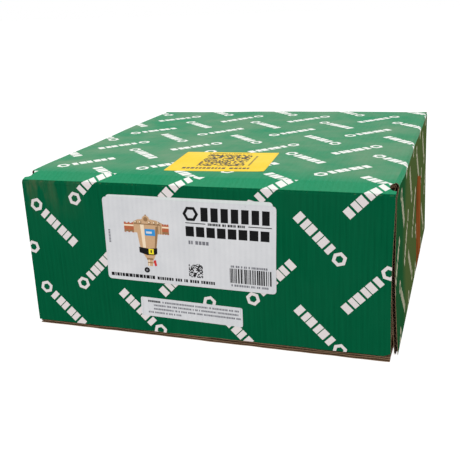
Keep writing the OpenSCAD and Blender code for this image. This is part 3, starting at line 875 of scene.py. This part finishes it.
PAPER = label_paper("label_paper", rgb("CDCDCF"), rgb("B4B6BA"))
OLD_PAPER = label_paper("old_label_paper", rgb("D2D4D4"), rgb("B4C2BC"))
YELLOW = label_paper("yellow_paper", rgb("F4CE10"), rgb("EAC012"), 0.35)
BLACK_INK = ink("black_ink", rgb("0A0A0C"))
GREY_INK = ink("grey_ink", rgb("6E6E74"))
DOT_INK = ink("dot_ink", rgb("4E463C"))
COPPER_INK = ink("copper_ink", rgb("A85A3A"), rgb("D28A62"))
BRASS_INK = ink("brass_ink", rgb("BE9A76"), rgb("E0C4A2"))
DARK_BRASS_INK = ink("dark_brass_ink", rgb("8A6A4A"), rgb("B08E6A"))
LIGHT_INK = ink("light_brass_ink", rgb("E2CDB0"), rgb("F0E4CE"))
BLUE_INK = ink("blue_ink", rgb("2F86C4"), rgb("62A8D8"))
YELLOW_INK = ink("yellow_ink", rgb("E8D62C"), rgb("D0B820"))
RED_INK = ink("red_ink", rgb("C23030"), rgb("94282C"))
PRINTS = (PAPER, OLD_PAPER, YELLOW, BLACK_INK, GREY_INK, DOT_INK, COPPER_INK, BRASS_INK,
          DARK_BRASS_INK, LIGHT_INK, BLUE_INK, YELLOW_INK, RED_INK)
(P_PAPER, P_OLD, P_YELLOW, P_BLACK, P_GREY, P_DOT, P_COPPER, P_BRASS, P_DARK, P_LIGHT, P_BLUE,
 P_LEMON, P_RED) = range(len(PRINTS))
PAPER_T = 0.15 * MM
INK_T = 0.03 * MM


class Label:
    """A paper label on the front flap or on the top, and the print on it.

    Its own measures are in millimetres from its centre, u to the right and v up.
    """

    def __init__(self, name, node, body, slot, centre, size, tilt, stack=0):
        self.name, self.node, self.body, self.slot = name, node, body, slot
        self.centre, self.size = centre, size
        self.turn = math.radians(tilt)
        self.base = stack * PAPER_T
        self.builder = Builder()

    def place(self, u, v, lift):
        right = u * math.cos(self.turn) - v * math.sin(self.turn)
        up = u * math.sin(self.turn) + v * math.cos(self.turn)
        x = (self.centre[0] + right) * MM
        depth = -(self.base + lift)
        if self.body == "lid":
            point = on_run(x, S_TOP - BEND + HALF_D - (self.centre[1] + up) * MM, depth)
        else:
            point = on_run(x, S_FLAP + FOLD_Z - FOLD_CUT - (self.centre[1] + up) * MM, depth)
        return point, ((0, 0, 0), (0, 0, 0), (u, v, 0.0))

    def paper(self, look, corner=3.0):
        """The sheet itself, with round corners and a slightly lifted lower corner."""
        width, height = self.size
        ends = [0, 0.3, 0.8, 1.6, corner]
        left = [-width / 2 + e for e in ends]
        columns = left + spread(-width / 2 + corner, width / 2 - corner, 5)[1:-1]
        columns += [-u for u in reversed(left)]

        def rows(u):
            over = max(0.0, abs(u) - (width / 2 - corner))
            half = height / 2 - corner + math.sqrt(max(corner ** 2 - over ** 2, 0.0))
            return [half * (2 * k / 14 - 1) for k in range(15)]

        def high(u, v):
            return self.curl(u, v) + PAPER_T
        self.builder.slab(self.place, columns, lambda u: list(reversed(rows(u))), high, self.curl,
                          (look, look, look))

    def curl(self, u, v):
        """How far the sheet stands off the board: a little at one lower corner."""
        width, height = self.size
        near = max(0.0, 1 - math.hypot(u - width / 2, v + height / 2) / 9)
        return 0.25 * MM * near * near

    def shape(self, outline, look, layer=0):
        """A printed area; a higher layer lies over a lower one."""
        low = PAPER_T * 0.7
        high = PAPER_T + (layer + 1) * INK_T

        def place(u, v, lift):
            return self.place(u, v, lift + self.curl(u, v))
        self.builder.prism(place, outline, low, high, look)

    def bar(self, u, v, width, height, look, layer=0):
        """A printed rectangle from its lower left corner, in pieces that follow the board."""
        pieces = max(1, math.ceil(width / 12))
        for k in range(pieces):
            a, b = u + width * k / pieces, u + width * (k + 1) / pieces
            self.shape([(a, v), (b, v), (b, v + height), (a, v + height)], look, layer)

    def blocks(self, u, v, width, height, count, fill, look):
        """A row of plain blocks that stands for a word."""
        step = width / count
        for k in range(count):
            self.bar(u + k * step, v, step * fill, height, look)

    def words(self, u, v, width, height, look, rough=0.5):
        """A line of plain marks with gaps that stands for small print."""
        end = u + width
        while u < end - height * 0.4:
            length = min(height * (0.35 + rough * random.random()), end - u)
            self.bar(u, v, length, height, look)
            u += length + height * (0.75 if random.random() < 0.16 else 0.22)

    def code(self, u, v, size, cells, look):
        """A square of random dots, which carries nothing."""
        step = size / cells
        for row in range(cells):
            for column in range(cells):
                if random.random() < 0.56:
                    self.bar(u + column * step, v + row * step, step * 0.97, step * 0.97, look)

    def stripes(self, u, v, width, height, look):
        """Random stripes, which carry nothing."""
        end = u + width
        while u < end - 0.9:
            thick = random.choice((0.4, 0.4, 0.8, 1.2))
            self.bar(u, v, thick, height, look)
            u += thick + random.choice((0.4, 0.6, 1.0))

    def ring(self, u, v, outer, inner, look, sides=6):
        """A ring of quadrilaterals round a point."""
        for k in range(sides):
            a, b = (math.radians(360 * (k + n) / sides) for n in (0, 1))
            self.shape([(u + inner * math.cos(a), v + inner * math.sin(a)),
                        (u + outer * math.cos(a), v + outer * math.sin(a)),
                        (u + outer * math.cos(b), v + outer * math.sin(b)),
                        (u + inner * math.cos(b), v + inner * math.sin(b))], look)

    def disc(self, u, v, radius, look, layer=0):
        outline = [(u + radius * math.cos(2 * math.pi * k / 20),
                    v + radius * math.sin(2 * math.pi * k / 20)) for k in range(20)]
        self.shape(outline, look, layer)

    def build(self):
        self.builder.build(self.name, PRINTS, self.body, self.slot, [self.node], smooth_faces=False)


def draw_separator(label, u0, v0):
    """The little picture of the separator, u0 on its axis and v0 at the top of its pipes."""
    def outline(points, look, layer=0):
        label.shape([(u0 + x, v0 - y) for x, y in points], look, layer)

    def area(left, right, top, bottom, look, layer=0):
        outline([(left, bottom), (right, bottom), (right, top), (left, top)], look, layer)
    for left, right in ((-20.9, -12.4), (12.6, 18.4)):
        area(left, right, 0.4, 7.8, P_COPPER)
        area(left, right, 1.6, 3.0, P_LIGHT, 1)
        for end in (left, right - 1.6, (left + right) / 2 - 0.8):
            area(end, end + 1.6, -0.4, 8.4, P_COPPER, 1)
        area(left, right, 6.2, 7.8, P_DARK, 2)
    area(-12.4, -8.0, -0.8, 8.2, P_BRASS)
    area(8.0, 12.6, -1.2, 8.4, P_BRASS, 1)
    for place in (8.8, 11.0):
        area(place, place + 0.5, -1.2, 8.4, P_DARK, 2)
    body = [(-7.6, 21.4), (6.6, 21.4), (7.8, 14), (9.4, 3), (9.4, 0), (-10.2, 0), (-10.2, 3), (-8.8, 14)]
    outline(body, P_BRASS, 1)
    light = [(-5.2, 21), (-2.6, 21), (-3.4, 1), (-6.6, 1)]
    outline(light, P_LIGHT, 2)
    dark = [(5.0, 21), (6.6, 21), (9.2, 2), (7.0, 2)]
    outline(dark, P_DARK, 2)
    bonnet = [(-12.4, 0.6), (11.6, 0.6), (11.4, -1.0), (8.2, -2.8), (3.0, -3.6), (-3.8, -3.6),
              (-8.8, -3.0), (-12.4, -1.2)]
    outline(bonnet, P_BRASS, 3)
    area(-12.0, 11.2, 0.2, 1.0, P_DARK, 4)
    for place in (-10.4, -6.4, 1.8, 6.0, 9.6):
        label.disc(u0 + place, v0 + 0.8, 1.3, P_DARK, 4)
        label.disc(u0 + place - 0.3, v0 + 1.1, 0.7, P_LIGHT, 5)
    label.disc(u0 - 1.4, v0 + 3.4, 3.2, P_BRASS, 4)
    label.disc(u0 - 1.4, v0 + 3.6, 1.9, P_DARK, 5)
    area(-2.0, -0.8, -7.4, -4.6, P_DARK, 3)
    area(-2.8, 6.2, 4.6, 10.2, P_BLUE, 3)
    area(-1.6, 3.4, 6.6, 8.4, P_PAPER, 4)
    belt = [(-8.6, 25.4), (-2, 27.2), (3.6, 27.0), (7.0, 25.8), (7.2, 20.6), (0, 21.6), (-8.8, 20.6)]
    outline(belt, P_BLACK, 3)
    area(-0.4, 4.0, 21.6, 26.2, P_LEMON, 4)
    area(1.2, 2.4, 22.6, 25.0, P_BLACK, 5)
    cone = [(-2.2, 31.2), (3.6, 31.2), (5.6, 26.6), (-5.0, 26.6)]
    outline(cone, P_BRASS, 1)
    area(-2.4, 3.2, 29.8, 31.4, P_DARK, 2)
    area(-1.8, 2.6, 31.2, 36.8, P_BRASS, 1)
    area(-1.2, -0.2, 31.2, 36.8, P_LIGHT, 2)
    area(-1.8, 2.6, 33.4, 34.2, P_DARK, 3)
    lever = [(4.4, 36.6), (6.2, 36.2), (5.4, 31.2), (3.2, 31.8)]
    outline(lever, P_RED, 3)
    area(2.2, 4.4, 33.0, 34.2, P_BRASS, 2)
    label.disc(u0 - 3.0, v0 - 40.6, 2.4, P_BLACK, 3)
    label.disc(u0 - 3.0, v0 - 40.6, 1.0, P_GREY, 4)


def build_labels():
    random.seed(21)
    old = Label("old_label_sheet", "old_label", "front_flap", "white_label", (-6.5, 88), (140, 72), -0.2)
    old.paper(P_OLD)
    old.build()

    product = Label("product_label_sheet", "product_label", "front_flap", "white_label",
                    (-7, 85.5), (146, 72), -0.6, stack=1)
    product.paper(P_PAPER)
    draw_separator(product, -33.9, 15.3)
    product.ring(3.6, 25.9, 6.6, 4.0, P_BLACK)
    product.blocks(12.2, 20.3, 58, 11.4, 7, 0.72, P_BLACK)
    product.bar(-1, 18.0, 17, 0.7, P_BLACK)
    product.bar(51, 18.0, 18.6, 0.7, P_BLACK)
    product.words(18, 17.2, 31, 2.0, P_BLACK)
    product.blocks(-1, 7.2, 70.5, 8.4, 8, 0.80, P_BLACK)
    product.words(1, 0.6, 18, 3.0, P_GREY)
    product.code(0.2, -28, 12, 14, P_BLACK)
    product.stripes(35, -29.6, 35, 12.4, P_BLACK)
    product.words(36, -16.4, 32, 1.8, P_GREY)
    product.words(36, -32.6, 32, 1.8, P_GREY)
    product.words(-70, -33.0, 40, 3.0, P_BLACK, 0.7)
    product.words(-28, -33.0, 51, 2.6, P_BLACK)
    for k in range(9):
        product.bar(-69.6, -3.2 + k * 1.3, 1.7, 0.9, P_GREY)
    product.build()

    notice = Label("notice_label_sheet", "notice_label", "front_flap", "white_label",
                   (-7.9, 26.3), (89, 17), -1.1)
    notice.paper(P_PAPER, 1.5)
    for k, (start, width) in enumerate(((-25, 67), (-33, 74), (-33, 76), (-38, 30))):
        notice.words(start, 4.3 - 3.3 * k, width, 1.6, P_GREY)
    notice.words(-38, 4.3, 11, 1.8, P_BLACK)
    notice.build()

    sticker = Label("top_sticker_sheet", "top_sticker", "lid", "yellow_label", (2.9, -87.8), (84, 65), 4)
    sticker.paper(P_YELLOW, 1.0)
    sticker.code(-19, -16, 40, 25, P_DOT)
    sticker.words(-29, -25.5, 58, 4.6, P_DOT, 0.35)
    sticker.words(-20, 27.0, 40, 1.7, P_DOT)
    for k in range(11):
        sticker.bar(24.5, -14 + k * 3.2, 1.7, 2.0, P_DOT)
    sticker.build()


TAPE_MIDDLE = 54                             # in y, in millimetres
TAPE_HALF = 25
TORN_FROM = 84                               # height at which the strip's torn tip begins
TORN_LENGTH = 13


def build_tape():
    """A strip of brown packing tape down the right flap, and the torn end on the tray below."""
    paint = Paint("packing_tape", Roughness=0.4, Specular_IOR_Level=0.0)
    film = paint.noise(60, 4, 0.6, (1, 1, 0.3))
    paint.colour(paint.mix(film.ramp(0.3, 0.75), rgb("5E3014"), rgb("8A5028")))
    paint.roughness(film, 0.35, 0.6)
    paint.bump(paint.noise(420, 3, 0.6, (1, 1, 0.3)), 0.12 * MM)
    strip = Builder()

    def half(b):
        torn = smooth((b - TORN_FROM) / TORN_LENGTH)
        ragged = 1.2 * noise.noise(Vector((b * 0.35, 2.0, 0)))
        return max(1.5, TAPE_HALF * (1 - 0.94 * torn) + ragged)

    def place(a, b, depth):
        y = (TAPE_MIDDLE + a * half(b) - 14 * smooth((b - TORN_FROM) / TORN_LENGTH)) * MM
        t = T_FLAP + HEIGHT - BEND - b * MM
        bubbles = 0.12 * MM * abs(noise.noise(Vector((y * 300, b * 0.2, 1))))
        point = on_side(1, y, t, depth - bubbles)
        return point, plain_sheet(y, b * MM)
    across = spread(-1, 1, 0.08)
    along = list(reversed(spread(5.2, 97, 2.5)))
    strip.slab(place, across, lambda a: along, lambda a, b: -0.16 * MM, lambda a, b: -0.01 * MM, (0, 0, 0))
    strip.build("side_tape_strip", (paint.material,), "right_flap", "packing_tape", ["side_tape"])

    tail = Builder()

    def under(a, b, depth):
        ragged = 0.4 * noise.noise(Vector((a * 3, 5.0, 0)))
        y = (TAPE_MIDDLE + a * TAPE_HALF) * MM
        z = (4.4 - (4.0 + ragged) * b) * MM
        point = Vector((HALF_W - WALL_SET - depth, y, max(z, 0.1 * MM)))
        return settle(point), plain_sheet(y, z)
    tail.slab(under, across, lambda a: spread(0, 1, 0.2), lambda a, b: -0.17 * MM, lambda a, b: -0.02 * MM,
              (0, 0, 0))
    tail.build("tape_tail_strip", (paint.material,), "carton", "packing_tape", ["tape_tail"])


# ---------------------------------------------------------------- the separator's materials

def metal(name, dark, light, rough, grain=500.0, depth=0.03, stretch=(1, 1, 1), dull=0.35):
    """A bare metal with tarnish, fine marks and uneven gloss."""
    paint = Paint(name, Metallic=1.0, Roughness=rough)
    tarnish = paint.noise(70, 5, 0.62)
    fine = paint.noise(grain, 3, 0.6, stretch)
    clean = paint.mix((fine * 0.6 + tarnish * 0.5).ramp(0.3, 0.8), dark, light)
    stain = tarnish.ramp(0.58, 0.78) * dull
    paint.colour(paint.mix(stain, clean, tuple(0.35 * c for c in dark)))
    paint.roughness(fine * 0.5 + tarnish * 0.5, rough - 0.08, rough + 0.18)
    paint.bump(fine, depth * MM)
    return paint.material


def moulded(name, dark, light, rough=0.5, grain=900.0, depth=0.02):
    """Moulded plastic or rubber, with a fine texture, dust and slight shade changes."""
    paint = Paint(name, Roughness=rough)
    mottle = paint.noise(45, 4, 0.6)
    fine = paint.noise(grain, 2, 0.5)
    base = paint.mix(mottle.ramp(0.3, 0.8), dark, light)
    paint.colour(paint.mix(paint.noise(1700, 2).ramp(0.70, 0.78) * 0.25, base, rgb("9A968C")))
    paint.roughness(mottle * 0.6 + fine * 0.4, rough - 0.1, rough + 0.2)
    paint.bump(fine, depth * MM)
    return paint.material


def wrapped_label(name, base, second):
    """A printed film label round the body: coloured bands that follow its height."""
    paint = Paint(name, Roughness=0.35)
    parts = paint.node("ShaderNodeSeparateXYZ")
    paint.tree.links.new(paint.place(), parts.inputs[0])
    along = Wire(paint.tree, parts.outputs["Y"])
    bands = (along * 210).math("FRACT").under(0.32)
    cloud = paint.noise(120, 3)
    ground = paint.mix(cloud, base, tuple(0.8 * c for c in base))
    paint.colour(paint.mix(bands * 0.8, ground, second))
    paint.roughness(cloud, 0.28, 0.5)
    paint.bump(paint.noise(500, 2), 0.02 * MM)
    return paint.material


def paint_separator():
    """Every CAD node that stays gets the material of its kind."""
    cast = metal("cast_brass", rgb("A5834E"), rgb("C9A66B"), 0.42, 900, 0.10)
    turned = metal("turned_brass", rgb("B8934F"), rgb("DDBD7A"), 0.24, 1500, 0.01, (1, 0.1, 1))
    copper = metal("copper", rgb("A8603C"), rgb("D18A62"), 0.28, 900, 0.01, (0.1, 1, 1))
    steel = metal("stainless", rgb("8E8E8C"), rgb("B9B9B5"), 0.30, 1600, 0.01)
    plated = metal("magnet_plating", rgb("9A9A96"), rgb("C2C2BE"), 0.22, 700, 0.005)
    plastic = moulded("black_plastic", rgb("101113"), rgb("1E2023"), 0.48)
    rubber = moulded("black_rubber", rgb("0E0E0E"), rgb("1C1C1C"), 0.7)
    green = moulded("green_rubber", rgb("0F5A38"), rgb("1C7A50"), 0.6)
    seat = moulded("seat_plastic", rgb("D8D6CC"), rgb("ECEAE2"), 0.4)
    red = moulded("red_handle", rgb("9C1418"), rgb("C4262A"), 0.38)
    blue = wrapped_label("body_label_film", rgb("1E78B8"), rgb("D8E2EA"))
    lemon = wrapped_label("belt_label_film", rgb("E4D02A"), rgb("2A2A26"))
    kinds = {
        cast: ("body_shell", "bonnet"),
        turned: ("vent_plug", "vent_cap", "union_nut", "drain_neck", "valve_body", "gland_nut"),
        copper: ("union_tailpiece", "fixed_tailpiece"),
        steel: ("bonnet_bolts", "mesh_element", "valve_ball", "valve_stem", "lever_screw"),
        plated: ("belt_magnets",),
        plastic: ("magnet_belt", "drain_cap"),
        rubber: ("bonnet_gasket", "vent_plug_gasket", "union_gasket", "fixed_seal", "neck_gasket",
                 "stem_seal", "cap_gasket", "cap_strap"),
        green: ("union_press_oring", "fixed_press_oring"),
        seat: ("upper_seat", "lower_seat"),
        red: ("drain_lever",),
        blue: ("body_label",),
        lemon: ("belt_label",),
    }
    for material, names in kinds.items():
        for name in names:
            mesh = frame["nodes"][name].data
            mesh.materials.clear()
            mesh.materials.append(material)


build_labels()
build_tape()
paint_separator()

# ---------------------------------------------------------------- studio

def build_studio():
    mesh = bpy.data.meshes.new("floor")
    half = 6.0
    mesh.from_pydata([(-half, -half, 0), (half, -half, 0), (half, half, 0), (-half, half, 0)], [],
                     [(0, 1, 2, 3)])
    floor = bpy.data.objects.new("floor", mesh)
    floor.location.z = -0.0005
    bpy.context.collection.objects.link(floor)
    paint = Paint("floor_white", Roughness=1.0, Specular_IOR_Level=0.0, Emission_Strength=1.0)
    shade = paint.mix(paint.noise(3, 2), (0.99, 0.99, 0.99), (1.0, 1.0, 1.0))
    paint.tree.links.new(shade, paint.shader.inputs["Emission Color"])
    paint.colour(paint.mix(paint.noise(3, 2), (0.10, 0.10, 0.10), (0.12, 0.12, 0.12)))
    mesh.materials.append(paint.material)

    world = bpy.data.worlds.new("studio")
    bpy.context.scene.world = world
    world.use_nodes = True
    background = world.node_tree.nodes["Background"]
    background.inputs["Color"].default_value = (1, 1, 1, 1)
    background.inputs["Strength"].default_value = 1.0

    light = bpy.data.lights.new("key", "AREA")
    light.size = 1.0
    light.energy = 7
    lamp = bpy.data.objects.new("key", light)
    lamp.location = (-0.6, -0.4, 1.6)
    aim = Vector((0, 0, 0.1)) - Vector((-0.6, -0.4, 1.6))
    lamp.rotation_euler = aim.to_track_quat("-Z", "Y").to_euler()
    bpy.context.collection.objects.link(lamp)


def build_camera():
    """The camera of a close view from the front and slightly right, held a little tilted."""
    azimuth, elevation, roll = (math.radians(v) for v in (18.218, 17.660, -2.649))
    distance = 0.7101
    target = Vector((0, 0, FOLD_Z / 2))
    back = Vector((math.sin(azimuth) * math.cos(elevation),
                   -math.cos(azimuth) * math.cos(elevation), math.sin(elevation)))
    camera = bpy.data.cameras.new("camera")
    camera.sensor_width = 36
    camera.lens = 55.852
    camera.shift_x = -0.0512
    camera.shift_y = -0.0436
    right = (-back).cross(Z).normalized()
    up = right.cross(-back)
    tilted_right = math.cos(roll) * right + math.sin(roll) * up
    tilted_up = -math.sin(roll) * right + math.cos(roll) * up
    stand = bpy.data.objects.new("camera", camera)
    turn = Matrix((tilted_right, tilted_up, back)).transposed()
    stand.matrix_world = Matrix.Translation(target + distance * back) @ turn.to_4x4()
    bpy.context.collection.objects.link(stand)
    bpy.context.scene.camera = stand
    bpy.context.scene.view_settings.view_transform = "Standard"


build_studio()
build_camera()
